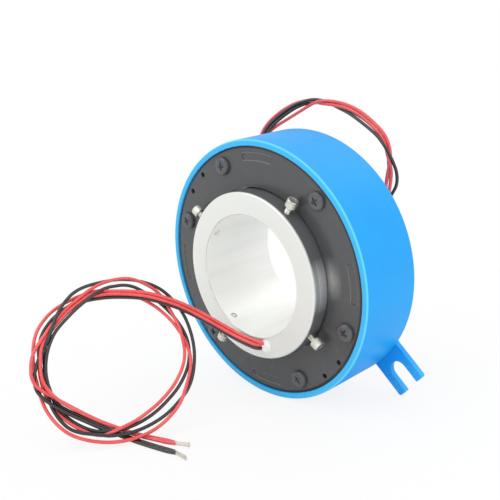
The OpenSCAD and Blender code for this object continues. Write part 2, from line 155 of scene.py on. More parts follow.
def lamp(name, target, azimuth, elevation, distance, size, power):
    light = bpy.data.lights.new(name, "AREA")
    light.shape = "SQUARE"
    light.size = size
    light.energy = power
    piece = bpy.data.objects.new(name, light)
    scene.collection.objects.link(piece)
    aim(piece, target, azimuth, elevation, distance)
    return piece


def white_floor(size, near, far, near_share):
    """A plane that shows shade within near, and is pure white to the camera past far."""
    bpy.ops.mesh.primitive_plane_add(size=size, location=(0, 0, floor_z))
    piece = bpy.context.object
    piece.name = "floor"
    surface = bpy.data.materials.new("floor")
    surface.use_nodes = True
    nodes = surface.node_tree.nodes
    nodes.clear()
    paper = nodes.new("ShaderNodeBsdfDiffuse")
    paper.inputs["Color"].default_value = (0.9, 0.9, 0.9, 1)
    glow = nodes.new("ShaderNodeEmission")
    glow.inputs["Strength"].default_value = 1.0
    eye = nodes.new("ShaderNodeLightPath")
    place = nodes.new("ShaderNodeTexCoord")
    distance = nodes.new("ShaderNodeVectorMath")
    distance.operation = "LENGTH"
    rising = nodes.new("ShaderNodeMapRange")
    rising.inputs["From Min"].default_value = near
    rising.inputs["From Max"].default_value = far
    rising.inputs["To Min"].default_value = near_share
    rising.inputs["To Max"].default_value = 1.0
    share = nodes.new("ShaderNodeMath")
    share.operation = "MULTIPLY"
    mixed = nodes.new("ShaderNodeMixShader")
    end = nodes.new("ShaderNodeOutputMaterial")
    link = surface.node_tree.links.new
    link(place.outputs["Object"], distance.inputs[0])
    link(distance.outputs["Value"], rising.inputs["Value"])
    link(eye.outputs["Is Camera Ray"], share.inputs[0])
    link(rising.outputs["Result"], share.inputs[1])
    link(share.outputs[0], mixed.inputs[0])
    link(paper.outputs[0], mixed.inputs[1])
    link(glow.outputs[0], mixed.inputs[2])
    link(mixed.outputs[0], end.inputs["Surface"])
    piece.data.materials.append(surface)
    return piece


world = bpy.data.worlds.new("surround")
world.use_nodes = True
scene.world = world
surround = world.node_tree.nodes["Background"]
surround.inputs["Color"].default_value = (1, 1, 1, 1)
sight = world.node_tree.nodes.new("ShaderNodeLightPath")
level = world.node_tree.nodes.new("ShaderNodeMapRange")
level.inputs["To Min"].default_value = 0.88
level.inputs["To Max"].default_value = 1.0
world.node_tree.links.new(sight.outputs["Is Camera Ray"], level.inputs["Value"])
world.node_tree.links.new(level.outputs["Result"], surround.inputs["Strength"])

floor = white_floor(size=6.0, near=0.10, far=0.32, near_share=0.85)
middle = (0, 0, 0)
lamps = [lamp("key", middle, -25, 50, 1.1, 0.9, 2.4),
         lamp("side", middle, 95, 25, 1.1, 0.9, 1.6),
         lamp("back", middle, 170, 45, 1.2, 0.9, 1.6)]
scene.view_settings.view_transform = "Standard"
print("lamps:", [item.name for item in lamps])

# %% [markdown]
# ## Node arithmetic
#
# A finish is a small sum of patterns. `Wire` stands for one output in a node tree and takes
# part in ordinary arithmetic, so a formula for roughness reads as a formula. `Finish` is one
# material: `add` puts in any node, and the named patterns below are built from it. All
# patterns read Object coordinates, so they stay on the metal when a piece turns.

# %% A class for finishes


class Wire:
    """One output of a node, with arithmetic on it."""

    def __init__(self, finish, socket):
        self.finish = finish
        self.socket = socket

    def __add__(self, other):
        return self.finish.sum("ADD", self, other)

    def __radd__(self, other):
        return self.finish.sum("ADD", other, self)

    def __sub__(self, other):
        return self.finish.sum("SUBTRACT", self, other)

    def __rsub__(self, other):
        return self.finish.sum("SUBTRACT", other, self)

    def __mul__(self, other):
        return self.finish.sum("MULTIPLY", self, other)

    def __rmul__(self, other):
        return self.finish.sum("MULTIPLY", other, self)

    def __truediv__(self, other):
        return self.finish.sum("DIVIDE", self, other)

    def __pow__(self, other):
        return self.finish.sum("POWER", self, other)


class Finish:
    """A material that is put together node by node."""

    def __init__(self, name):
        self.material = bpy.data.materials.new(name)
        self.material.use_nodes = True
        self.tree = self.material.node_tree
        self.surface = self.tree.nodes["Principled BSDF"]
        self.place = self.add("ShaderNodeTexCoord", {}, out="Object")
        self.x, self.y, self.z = (
            self.add("ShaderNodeSeparateXYZ", {}, self.place, out=axis) for axis in "XYZ")
        self.radius = (self.x * self.x + self.z * self.z) ** 0.5
        self.turn = self.sum("ARCTAN2", self.z, self.x)

    def add(self, kind, settings, *inputs, out=0, **named):
        node = self.tree.nodes.new(kind)
        for key, value in settings.items():
            setattr(node, key, value)
        pairs = list(zip(node.inputs, inputs))
        pairs += [(node.inputs[key.replace("_", " ")], value) for key, value in named.items()]
        for socket, value in pairs:
            self.fill(socket, value)
        return Wire(self, node.outputs[out])

    def sum(self, operation, *values):
        return self.add("ShaderNodeMath", {"operation": operation}, *values)

    def fill(self, socket, value):
        if isinstance(value, Wire):
            self.tree.links.new(value.socket, socket)
        else:
            socket.default_value = value

    def noise(self, scale, detail=3.0, place=None):
        return self.add("ShaderNodeTexNoise", {}, Vector=place or self.place,
                        Scale=scale, Detail=detail, Roughness=0.55)

    def turned(self, pitch, drift=0.4):
        """Noise that is drawn out round the bore axis, as a lathe tool leaves it."""
        lane = self.add("ShaderNodeCombineXYZ", {}, self.radius / pitch, self.y / pitch,
                        self.turn * drift)
        return self.noise(1.0, 2.0, lane)

    def size(self, value):
        return self.sum("ABSOLUTE", value)

    def range(self, value, low, high, start=0.0, stop=1.0):
        return self.add("ShaderNodeMapRange", {}, value, low, high, start, stop)

    def between(self, value, low, high):
        """0 up to low and 1 past high, both in millimetres."""
        return self.range(value, low * MM, high * MM)

    def blend(self, share, one, other):
        """A colour between two colours."""
        node = self.tree.nodes.new("ShaderNodeMix")
        node.data_type = "RGBA"
        for index, value in ((0, share), (6, one), (7, other)):
            if not isinstance(value, (Wire, float, int)):
                value = (*value, 1.0)
            self.fill(node.inputs[index], value)
        return Wire(self, node.outputs[2])

    def bump(self, height, depth, strength=1.0):
        return self.add("ShaderNodeBump", {}, Height=height, Distance=depth, Strength=strength,
                        out="Normal")

    def shade(self, **sockets):
        for key, value in sockets.items():
            if isinstance(value, tuple):
                value = (*value, 1.0)
            self.fill(self.surface.inputs[key.replace("_", " ")], value)
        return self.material


print("patterns:", [name for name in vars(Finish) if not name.startswith("_")])

# %% [markdown]
# ## Paint, plate and plastics
#
# The housing is an aluminium turning under sky-blue stoving paint with a faint orange peel.
# Light catches on its front rim and on the fork's prongs. That isn't left to the lamps alone:
# a painted highlight mixes the colour lighter there, from the distance to the bore axis and to
# the rim.
#
# The cover plate is glossy and very dark grey, with bright edges on its four shallow slots. The
# soft sheen beside the collar is a painted highlight, and the dark line round the plate is painted
# shade: it stands for the shade in the joint and is a little wider on the right. Light that is
# painted on like this doesn't move when the view changes. The brush blocks and insulators are dull
# mouldings.

# %% Paint and plastic finishes
finishes = {}
mounts = {mount["name"]: mount for mount in record["mounts"]}
between_holes = sum((Vector(mounts[name]["pos_m"])
                     for name in ("cover_hole_lower_a", "cover_hole_lower_b")), Vector())
PLATE_TURN = math.atan2(between_holes.z, between_holes.x)
SLOT_TURN = math.radians(48)
SLOT_RADIUS = 74.2 * MM
SLOT_HALF = 2.4 * MM
# The next two numbers place the painted highlight beside the collar and widen the painted shade
# round the plate towards the right.
SHEEN_Z = 4 * MM
JOINT_SHADE_DRIFT = 0.009


def paint(slot, colour, deep, edge, roughness):
    """Stoving paint, with a painted highlight on the front rim and the fork's prongs."""
    f = Finish(slot)
    peel = f.noise(900.0, 2.0)
    cloud = f.noise(60.0, 4.0)
    # Painted highlight: the front rim, strongest at its outer corner, and the fork's prongs are
    # mixed towards the edge colour.
    front = 1 - f.between(f.y, 0.8, 1.3)
    corner = f.between(f.radius, 83.9, 84.4)
    prongs = f.between(f.radius, 90, 106)
    body = f.blend(f.range(cloud, 0.3, 0.7), deep, colour)
    finishes[slot] = f.shade(
        Base_Color=f.blend(front * (0.4 + 0.6 * corner) + 0.3 * prongs, body, edge),
        Roughness=roughness + 0.08 * (cloud - 0.5),
        Specular_IOR_Level=0.25,
        Normal=f.bump(peel, 0.00002, 0.25))


def cover_plate(slot, colour, deep, line, joint_shade_colour):
    """Gloss dark grey: bright slot edges, a painted sheen by the collar, painted shade round its
    rim.
    """
    f = Finish(slot)
    speck = f.noise(1500.0, 2.0)
    cloud = f.noise(90.0, 3.0)
    half_turn = f.sum("PINGPONG", f.turn - PLATE_TURN, math.pi / 2)
    along = f.size(half_turn - SLOT_TURN)
    across = f.size(f.size(f.radius - SLOT_RADIUS) - SLOT_HALF)
    edge = (1 - f.between(across, 0.15, 0.4)) * (1 - f.range(along, 0.15, 0.17))
    # Painted highlight: a soft sheen on the plate beside the collar.
    sheen = (f.between(f.x, 53, 58) * (1 - f.between(f.radius, 59, 66))
             * (1 - f.between(f.size(f.z - SHEEN_Z), 2, 14)))
    # Painted shade: a dark line round the plate's edge for the shade in the joint, wider to the
    # right.
    joint_shade = f.between(f.radius + JOINT_SHADE_DRIFT * f.x, 79.4, 79.7)
    body = f.blend(f.range(speck + cloud, 0.7, 1.3), deep, colour)
    slot_lines_and_sheen = f.blend(0.45 * edge + sheen, body, line)
    finishes[slot] = f.shade(
        Base_Color=f.blend(joint_shade, slot_lines_and_sheen, joint_shade_colour),
        Roughness=f.range(cloud, 0.3, 0.7, 0.2, 0.28),
        Specular_IOR_Level=0.6,
        Normal=f.bump(speck, 0.00001, 0.3))


def plastic(slot, colour, deep, roughness):
    f = Finish(slot)
    speck = f.noise(1500.0, 2.0)
    cloud = f.noise(90.0, 3.0)
    finishes[slot] = f.shade(
        Base_Color=f.blend(f.range(speck + cloud, 0.7, 1.3), deep, colour),
        Roughness=f.range(cloud, 0.3, 0.7, roughness - 0.04, roughness + 0.04),
        Normal=f.bump(speck, 0.00001, 0.3))


# The third colour is the painted highlight on the front rim and the prongs.
paint("blue_paint", (0.011, 0.388, 0.93), (0.009, 0.366, 0.90), (0.13, 0.72, 1.0), 0.42)
# Of the last two colours, the first is for the bright slot edges and the painted sheen, the second
# for the painted shade round the plate.
cover_plate("dark_plate", (0.078, 0.082, 0.084), (0.068, 0.072, 0.074), (0.32, 0.32, 0.31),
            (0.012, 0.012, 0.012))
plastic("insulator", (0.33, 0.15, 0.06), (0.24, 0.10, 0.04), 0.5)
plastic("brush_plastic", (0.022, 0.024, 0.028), (0.015, 0.016, 0.019), 0.5)
plastic("white_grommet", (0.96, 0.94, 0.93), (0.91, 0.89, 0.88), 0.35)
print("finishes:", sorted(finishes))

# %% [markdown]
# ## Metals
#
# The sleeve is fine-turned aluminium: light, with a faint lane pattern round the bore and
# painted reflection streaks along it. Its bore is given a lighter colour than its flange, a
# painted highlight for the light it gathers, and the small chamfer between them a thin grey line
# of painted shade. The collar is the same metal with a black anodised skin. The pale band on its
# right stands for the light it catches there, and is fixed colour too: a painted highlight.
# Screws are oxide black, zinc bright or nickel plated. Rings and brush wires are brass, which
# stands for gold-plated contact metal.

# %% Metal finishes


LANE = 0.12 * MM


def turned_metal(slot, colour, deep, roughness, metallic=1.0, streaks=0.0, zones=()):
    """Lathe lanes round the bore axis, and painted reflection streaks that run along it.

    A zone is a value's name, the two sizes in mm it goes between, and the colour beyond.
    """
    f = Finish(slot)
    lanes = f.turned(LANE)
    broad = f.turned(LANE * 14, 1.5)
    beams = f.noise(1.0, 2.0, f.add("ShaderNodeCombineXYZ", {}, f.turn * 2.6, f.y * 6, f.radius))
    # The streaks share is noise drawn along the bore axis: painted reflection streaks.
    shade = f.range(lanes, 0.3, 0.7) * (1 - streaks) + f.range(beams, 0.35, 0.65) * streaks
    for value, start, stop, other in zones:
        colour = f.blend(f.between(getattr(f, value), start, stop), colour, other)
    finishes[slot] = f.shade(
        Base_Color=f.blend(shade, deep, colour),
        Roughness=roughness + 0.06 * (lanes + broad - 1.0),
        Metallic=metallic,
        Normal=f.bump(lanes, 0.000006, 0.3))


def plated_metal(slot, colour, deep, roughness, metallic=1.0):
    f = Finish(slot)
    fine = f.noise(2200.0, 3.0)
    wear = f.noise(260.0, 4.0)
    finishes[slot] = f.shade(
        Base_Color=f.blend(f.range(wear, 0.35, 0.65), deep, colour),
        Roughness=f.range(wear, 0.3, 0.7, roughness - 0.05, roughness + 0.07),
        Metallic=metallic,
        Normal=f.bump(fine, 0.000008, 0.25))


# The bore's own colour, the lightest, is a painted highlight; the grey zone just outside the bore
# is painted shade on the chamfer, and the flange beyond is given 0.86.
turned_metal("satin_aluminium", (1.0, 1.0, 0.98), (0.88, 0.90, 0.86), 0.44, metallic=0.6,
             streaks=0.7, zones=(("radius", 40.02, 40.1, (0.4, 0.41, 0.4)),
                                 ("radius", 40.35, 40.45, (0.86, 0.89, 0.85))))
# The collar's zone is a painted highlight: past x 51.5 mm its colour turns pale.
turned_metal("black_collar", (0.22, 0.22, 0.23), (0.18, 0.18, 0.19), 0.30, metallic=0.4,
             zones=(("x", 51.5, 54.2, (0.97, 0.97, 1.0)),))
turned_metal("bearing_steel", (0.62, 0.63, 0.64), (0.54, 0.55, 0.56), 0.22)
turned_metal("contact_brass", (0.80, 0.58, 0.24), (0.72, 0.50, 0.18), 0.2)
turned_metal("bearing_cage", (0.66, 0.49, 0.24), (0.56, 0.40, 0.18), 0.35)
plated_metal("black_screws", (0.125, 0.128, 0.133), (0.095, 0.098, 0.103), 0.14, metallic=0.2)
plated_metal("bright_screws", (0.72, 0.72, 0.70), (0.62, 0.62, 0.60), 0.28)
plated_metal("nickel_screws", (0.84, 0.83, 0.75), (0.66, 0.65, 0.58), 0.26, metallic=0.85)
plated_metal("bearing_balls", (0.82, 0.83, 0.84), (0.76, 0.77, 0.78), 0.08)
plated_metal("black_spring_steel", (0.05, 0.05, 0.055), (0.03, 0.03, 0.034), 0.35, metallic=0.8)
plated_metal("brush_wire", (0.80, 0.60, 0.28), (0.72, 0.52, 0.2), 0.2)
plated_metal("tinned_wire", (0.86, 0.84, 0.76), (0.74, 0.72, 0.64), 0.32, metallic=0.8)
print("finishes:", len(finishes))

# %% [markdown]
# ## Lead insulation
#
# The leads have a smooth, slightly soft insulation in coral red and in black. It shines in a
# narrow line along each lead, and handling leaves it a little uneven.

# %% Insulation finishes


def insulation(slot, colour, deep, roughness):
    f = Finish(slot)
    print_through = f.noise(700.0, 2.0)
    smear = f.noise(120.0, 3.0)
    finishes[slot] = f.shade(
        Base_Color=f.blend(f.range(smear, 0.3, 0.7), deep, colour),
        Roughness=f.range(smear, 0.3, 0.7, roughness, roughness + 0.1),
        Coat_Weight=0.7,
        Coat_Roughness=0.1,
        Normal=f.bump(print_through, 0.00002, 0.2))


insulation("lead_red", (0.95, 0.105, 0.105), (0.82, 0.065, 0.068), 0.26)
insulation("lead_black", (0.016, 0.017, 0.018), (0.010, 0.011, 0.012), 0.22)

for node, piece in frame["nodes"].items():
    piece.data.materials.clear()
    piece.data.materials.append(finishes[slot_of[node]])
print("solids with a finish:", len(frame["nodes"]))

# %% [markdown]
# ## Routes of the leads
#
# Four leads come out of the flange, lie across it, and make almost one and a half loose
# turns beside the housing before they reach the floor. They aren't tied, so each lead wanders
# a little inside or outside the coil's middle line, and lies over or under its neighbours.
# `sway` gives the first distance at every 20 degrees of the way round, and `lift` the second
# at every 40, towards the viewer. Both start where the leads have reached the coil's top.
# `place` is a lead's distance from the bundle's middle on the way there, and `hole` is the
# angle of its hole in the grommet.
#
# Smooth curves through the points come from the Catmull-Rom formula, which passes through
# each point and needs no handles.

# %% Where the leads lie
LEAD_R = 1.1
COIL_CENTRE = np.array((-52.0, -40.9, 83.5))
COIL_R = 48.4
COIL_TILT = math.radians(66)
COIL_TURN = math.radians(40)
FACING = np.array((math.sin(COIL_TILT) * math.cos(COIL_TURN),
                   math.sin(COIL_TILT) * math.sin(COIL_TURN), math.cos(COIL_TILT)))
TOP = np.array((0.0, 1.0, 0.0)) - FACING[1] * FACING
TOP /= np.linalg.norm(TOP)
LEFT = np.cross(FACING, TOP)
EXIT_TURN = math.radians(-77)
FLANGE_EXIT = np.array((45.7 * math.cos(EXIT_TURN), 45.7 * math.sin(EXIT_TURN), 10.5))
LEAD_CIRCLE = 1.65
LEAD_IN = np.array([
    (4, -44.1, 13.6), (-6.2, -42.9, 13.5), (-14.9, -40.7, 14.4),
    (-23.2, -35.2, 18.5), (-29, -29.3, 24), (-34.6, -23.8, 29.6), (-40.3, -18.9, 35.1),
    (-46.8, -14.6, 41.5), (-52.2, -10.7, 48.4), (-57, -8.2, 55), (-62.2, -6.8, 61.6),
    (-68.6, -5.9, 68.3), (-76.1, -5.8, 75.8), (-82.4, -7.2, 84)])
COIL_FROM, COIL_TO = 40, 460
SWAY_STEP, LIFT_STEP = 20, 40
FREE_LEADS = {
    "rotor_lead_red_a": dict(
        slot="lead_red", place=(2.2, -0.6), hole=45,
        sway=(1.4, 3, 0.8, 0, 3, 5, 4, 3.7, 3.6, 2.3, 0.5, 0, -2.4, -4.5, -4.5, -4.3, -3.3,
              -5.8, -6.4, -5.2, -3.8, -3.1),
        lift=(0.5, 0.8, 0.5, 1.5, 3, 1.5, -1, -3, 1.5, 3.5, 3.5, 4),
        tail=[(-58.5, -52.9, 124.8), (-53.5, -57.2, 121.2), (-46.8, -64.2, 114.5),
              (-40.5, -72.3, 105.6), (-33.7, -78.2, 97.6), (-26.2, -81.5, 92.8),
              (-16.3, -83.9, 86.8), (-0.2, -83.9, 82.1)], tip=(8.9, -83.9, 78.9)),
    "rotor_lead_red_b": dict(
        slot="lead_red", place=(0.9, 1.2), hole=135,
        sway=(-5.1, -4, -2.7, -2.4, -1.2, -1.3, 0.3, -4.9, -7.8, -8.1, -6.4, -3.7, -2.8, -1,
              5.5, 6.4, 1.5, -3.7, -5.9, -4.5, 1.5, 2.6),
        lift=(-1, -1, -0.5, 1, 3.5, 2, 0, -3.5, 3, 3.5, 5, 5),
        tail=[(-61.7, -53.1, 124.3), (-55.8, -57.9, 119.9), (-49.1, -64.9, 113.1),
              (-42.8, -73.1, 104.3), (-35.7, -78.9, 96.2), (-27.1, -81.5, 92.2),
              (-17.8, -83.9, 86.2), (-2.2, -83.9, 81.7)], tip=(7, -83.9, 77.4)),
    "rotor_lead_black_a": dict(
        slot="lead_black", place=(-0.3, -1.0), hole=-45,
        sway=(-2.1, -0.5, -2.7, -4.5, -0.8, 2.6, -0.7, -0.4, -0.4, 0.6, 2.1, 2.4, 3.4, 5.8,
              8.2, 6, 2.8, 2, -3.1, -6.6, -3, 2.6),
        lift=(-0.5, -0.3, 0.5, 1.5, 2, 1, -1.5, -4.5, 1, 5.5, 3, 3),
        tail=[(-64.1, -53.5, 129.5), (-57.3, -58.3, 125.6), (-50.7, -63.1, 121.2),
              (-45.5, -67.6, 115.9), (-39.5, -73.3, 109.4), (-35.9, -77, 105.2),
              (-30.1, -81.5, 98.7), (-22.4, -83.9, 95.1), (-6.9, -83.9, 92.6),
              (8.6, -83.9, 89.4)], tip=(19, -83.9, 90.2)),
    "rotor_lead_black_b": dict(
        slot="lead_black", place=(-1.5, 1.1), hole=-135,
        sway=(-4.6, -3.5, -5.5, -5.9, -3.5, -2, -1.4, -3.8, -5.1, -5.5, -3.3, -0.5, -0.4,
              -0.9, 0.2, 2, -3.2, -8.2, -10, -7.9, -7.2, -5.8),
        lift=(-2, -1.5, -1, 0.5, 1.5, 0, -2, -5, 3.5, 4.5, 2.5, 2.5),
        tail=[(-59.7, -58, 123.6), (-53, -62.2, 119.6), (-47.4, -66.8, 114.6),
              (-41.7, -72.9, 107.9), (-38.3, -76.8, 103.5), (-31.2, -81, 97.8),
              (-23.9, -83.9, 94), (-8.5, -83.9, 92.1), (6.6, -83.9, 88.6)],
        tip=(17.2, -83.9, 89)),
}


def smooth_line(points, spacing):
    """Points at an even spacing on the Catmull-Rom curve through the given ones."""
    p = np.array(points, float)
    p = np.vstack((2 * p[0] - p[1], p, 2 * p[-1] - p[-2]))
    share = np.linspace(0, 1, 24, endpoint=False)[:, None]
    spans = [0.5 * (2 * b + (c - a) * share + (2 * a - 5 * b + 4 * c - d) * share ** 2
                    + (3 * b - a - 3 * c + d) * share ** 3)
             for a, b, c, d in zip(p[:-3], p[1:-2], p[2:-1], p[3:])]
    line = np.vstack(spans + [p[-2]])
    run = np.concatenate(([0], np.cumsum(np.linalg.norm(np.diff(line, axis=0), axis=1))))
    marks = np.linspace(0, run[-1], max(2, round(run[-1] / spacing) + 1))
    return np.column_stack([np.interp(marks, run, line[:, axis]) for axis in range(3)])


def beside(route, right, near, front=(0.0, 0.0, 1.0)):
    """The route moved to the right of its way and towards the front, square to its way.

    right and near are distances, one for all points or one for each.
    """
    route = np.array(route, float)
    along = np.gradient(route, axis=0)
    along /= np.linalg.norm(along, axis=1)[:, None]
    ahead = np.array(front) - (along @ np.array(front))[:, None] * along
    ahead /= np.linalg.norm(ahead, axis=1)[:, None]
    side = np.cross(along, ahead)
    return route + np.reshape(right, (-1, 1)) * side + np.reshape(near, (-1, 1)) * ahead


def coil_line(sway, lift):
    """Loose turns round the coil's centre, out of their circle by sway and lift."""
    turns = np.arange(COIL_FROM, COIL_TO + 1, 10.0)
    radius = COIL_R + np.interp(turns, COIL_FROM + SWAY_STEP * np.arange(len(sway)), sway)
    across = np.interp(turns, COIL_FROM + LIFT_STEP * np.arange(len(lift)), lift)
    angle = np.radians(turns)
    return (COIL_CENTRE + (radius * np.cos(angle))[:, None] * TOP
            + (radius * np.sin(angle))[:, None] * LEFT + across[:, None] * FACING)


def free_line(lead):
    hole = math.radians(lead["hole"])
    start = FLANGE_EXIT + LEAD_CIRCLE * np.array((math.cos(hole), math.sin(hole), 0))
    return np.vstack((start, start + (-0.3, 0, 2.2), beside(LEAD_IN, *lead["place"]),
                      coil_line(lead["sway"], lead["lift"]), lead["tail"]))


lines = {name: smooth_line(free_line(lead), 2.0) for name, lead in FREE_LEADS.items()}
print("points on each lead:", [len(line) for line in lines.values()])

# %% [markdown]
# ## Letting the leads settle
#
# Drawn by formula, the leads would run through one another where they cross. In a real coil
# each lead rests on its neighbour. The loop below does what contact does: where two leads are
# closer than a diameter, both move apart. Each lead then straightens itself a little, as
# stiff insulation does, and draws back towards its route, so the coil keeps its size. The
# ends stay where they are, and nothing sinks into the floor.

# %% Settle the coil
CLEAR = 2 * LEAD_R + 0.1
LOWEST = floor_z / MM + LEAD_R
PUSH, STRAIGHTEN, DRAW_BACK = 0.25, 0.12, 0.03


def settle(strands, rounds):
    cuts = np.cumsum([len(s) for s in strands])[:-1]
    points = np.vstack(strands)
    routes = points.copy()
    owner = np.repeat(np.arange(len(strands)), [len(s) for s in strands])
    place = np.concatenate([np.arange(len(s)) for s in strands])
    apart = ((owner[:, None] != owner[None, :])
             | (np.abs(place[:, None] - place[None, :]) > 4))
    ends = (place < 2) | np.isin(np.arange(len(points)),
                                 np.concatenate([np.r_[c - 2:c] for c in [*cuts, len(points)]]))
    fixed = points[ends].copy()
    for _ in range(rounds):
        between = points[:, None, :] - points[None, :, :]
        distance = np.sqrt((between ** 2).sum(axis=2)) + 1e-6
        push = np.where(apart & (distance < CLEAR), (CLEAR - distance) / distance, 0.0)
        points = points + PUSH * (push[:, :, None] * between).sum(axis=1)
        points += DRAW_BACK * (routes - points)
        for part in np.split(points, cuts):
            part[1:-1] += STRAIGHTEN * (part[:-2] + part[2:] - 2 * part[1:-1])
        points[:, 1] = np.maximum(points[:, 1], LOWEST)
        points[ends] = fixed
    return np.split(points, cuts)


lines = dict(zip(lines, settle(list(lines.values()), 90)))


def line_length(line):
    return float(np.linalg.norm(np.diff(line, axis=0), axis=1).sum()) * MM


print("lengths:", {name: round(line_length(line), 3) for name, line in lines.items()})

# %% [markdown]
# ## Leads and their stripped ends
#
# A lead is a curve with a round section, so its thickness is true all along. Its bare end is
# seven tinned strands, six laid round one with a slight twist.

# %% Make a lead
STRAND_R = 0.3
STRIPPED = 9.0


def tube_curve(name, routes, radius, finish, sides=5):
    curve = bpy.data.curves.new(name, "CURVE")
    curve.dimensions = "3D"
    curve.bevel_depth = radius * MM
    curve.bevel_resolution = sides
    curve.resolution_u = 3
    curve.use_fill_caps = True
    for route in routes:
        spline = curve.splines.new("BEZIER")
        spline.bezier_points.add(len(route) - 1)
        for knot, point in zip(spline.bezier_points, route):
            knot.co = at(*point)
            knot.handle_left_type = knot.handle_right_type = "AUTO"
    piece = bpy.data.objects.new(name, curve)
    scene.collection.objects.link(piece)
    curve.materials.append(finish)
    return piece


def as_mesh(piece):
    """The piece with its curve and modifiers turned into one plain mesh."""
    evaluated = piece.evaluated_get(bpy.context.evaluated_depsgraph_get())
    mesh = bpy.data.meshes.new_from_object(evaluated)
    solid = bpy.data.objects.new(piece.name + "_solid", mesh)
    scene.collection.objects.link(solid)
    name = piece.name
    bpy.data.objects.remove(piece)
    solid.name = name
    return solid


def stripped_end(name, start, tip):
    """Seven strands from the insulation's end to the tip."""
    start, tip = np.array(start, float), np.array(tip, float)
    along = (tip - start) / np.linalg.norm(tip - start)
    side = np.cross(along, (0, 1, 0))
    side /= np.linalg.norm(side)
    other = np.cross(along, side)
    routes = [[start - along, tip]]
    for k in range(6):
        turns = math.radians(60 * k) + np.linspace(0, 0.9, 5)
        steps = np.linspace(-1, np.linalg.norm(tip - start) - 0.15 * (k % 3), 5)
        routes.append([start + s * along + 2 * STRAND_R * (math.cos(t) * side + math.sin(t) * other)
                       for s, t in zip(steps, turns)])
    return as_mesh(tube_curve(name, routes, STRAND_R, finishes["tinned_wire"], 2))


def lay_lead(name, line, slot, body, tip_point):
    """A lead along a line, with its stripped end, riding on a body."""
    knots = line[np.unique(np.linspace(0, len(line) - 1, len(line) // 3).round().astype(int))]
    piece = tube_curve(name, [knots], LEAD_R, finishes[slot])
    tip = stripped_end(name + "_tip", line[-1], tip_point)
    for part, part_slot in ((piece, slot), (tip, "tinned_wire")):
        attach(part, body)
    line_length(line)
    return piece, tip


rotor_pieces = []
for name, lead in FREE_LEADS.items():
    rotor_pieces += lay_lead(name, lines[name], lead["slot"], "rotor", lead["tip"])
for piece in rotor_pieces:
    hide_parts("rotor_leads", "rotor_lead_coil", "rotor_tails_red", "rotor_tails_black",
                "rotor_lead_tips")
print("pieces for the turning leads:", len(rotor_pieces))

# %% [markdown]
# ## Leads of the housing
#
# The other four leads leave a grommet in the housing's back. They rise over it in one wide
# arc and drop to the floor behind. They cross one another on the way: `out` and `near` give
# each lead's distance from the bundle's middle line, away from the arc's centre and towards
# the camera, at the points of `REAR_MARKS`.

# %% Lay the housing's leads
REAR_ROUTE = [
    (-29.3, 55.1, -49), (-30, 55.6, -56), (-34.5, 57.5, -59.5), (-42, 62.5, -60),
    (-48, 70.5, -60.5), (-47.5, 79, -62.5), (-43, 84.5, -66), (-37.5, 89, -70),
    (-25.5, 95.5, -74), (-17, 98.3, -76), (-8, 99, -77), (7, 97, -78), (21.5, 92, -78),
    (35.5, 84.5, -77), (46.5, 75.5, -75), (52, 65.5, -73), (53, 56, -71), (52, 47, -69),
    (51, 36, -66), (50, 22, -64), (49, 6, -62), (47.5, -10, -61), (43.5, -27, -61),
    (37, -43, -62), (28, -57, -64), (18, -69, -68), (7, -78, -75), (-5, -82.3, -85),
    (-19, -82.3, -94.5)]
REAR_MARKS = (0, 2, *range(5, 19), 22, 28)
REAR_LEADS = {
    "stator_lead_red_a": dict(
        slot="lead_red", hole=45,
        out=(2.2, 2.8, 3.4, 3, 1.2, -1, -1.6, -0.6, -1.2, -0.8, -1.6, 0.6, 1.2, 1.4, 1.1, 1.1),
        near=(-1, -1, -1, -1, -1.5, 0, 1, 1, 0.5, 0.5, 0, 0, 0.8, 1, 1.1, 1.1)),
    "stator_lead_red_b": dict(
        slot="lead_red", hole=135,
        out=(-1.5, -2.8, -3.8, -4, -3.2, -1, 0.6, 1.6, 0.9, 0.8, 0.2, -1.2, -1.4, 0, -1.1, -1.1),
        near=(0, 0, 0, 0.3, 0.8, 1.6, 1.5, 1, 1, 0.5, -0.3, -0.6, -1, 1, 1.1, 1.1)),
    "stator_lead_black_a": dict(
        slot="lead_black", hole=-45,
        out=(0.6, 1, 1.4, 1.8, 0.8, 0.6, -1.5, -3.2, -4, -2.4, -1.5, 3.5, 6, 1, 1.1, 1.1),
        near=(0.5, 0.5, 0.8, 0.8, 0.8, 0, -1.8, -0.5, 0.3, 0.8, 1.8, 1.5, 0.8, -1, -1.1, -1.1)),
    "stator_lead_black_b": dict(
        slot="lead_black", hole=-135,
        out=(-0.9, -0.9, -0.8, 0, 0.2, -0.4, -0.8, -0.6, -0.6, -0.4, -0.8, -0.6, -1, -2.4,
             -1.1, -1.1),
        near=(1.2, 1.2, 1, 0.5, -1.5, -2, -2, -2, -2, -2, -2, -2, -1.8, -1.2, -1.1, -1.1)),
}
HOLE_RING = 1.6
TO_CAMERA = (0.71, 0.26, 0.66)


def rear_line(lead):
    """One of four leads beside the bundle's middle line, from its hole in the grommet."""
    hole = math.radians(lead["hole"])
    first = [HOLE_RING * math.cos(hole)] * 2, [HOLE_RING * math.sin(hole)] * 2
    steps = np.arange(len(REAR_ROUTE))
    out, near = (np.interp(steps, REAR_MARKS, (*start, *lead[key]))
                 for start, key in zip(first, ("out", "near")))
    return smooth_line(beside(REAR_ROUTE, -out, near, TO_CAMERA), 2.0)


rear_lines = settle([rear_line(lead) for lead in REAR_LEADS.values()], 60)
rear_pieces = []
for (name, lead), line in zip(REAR_LEADS.items(), rear_lines):
    end = line[-1] + STRIPPED * (line[-1] - line[-3]) / np.linalg.norm(line[-1] - line[-3])
    rear_pieces += lay_lead(name, line, lead["slot"], "stator", end)
for piece in rear_pieces:
    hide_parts("stator_leads", "stator_lead_tips")
print("lengths:", [round(line_length(line), 3) for line in rear_lines])

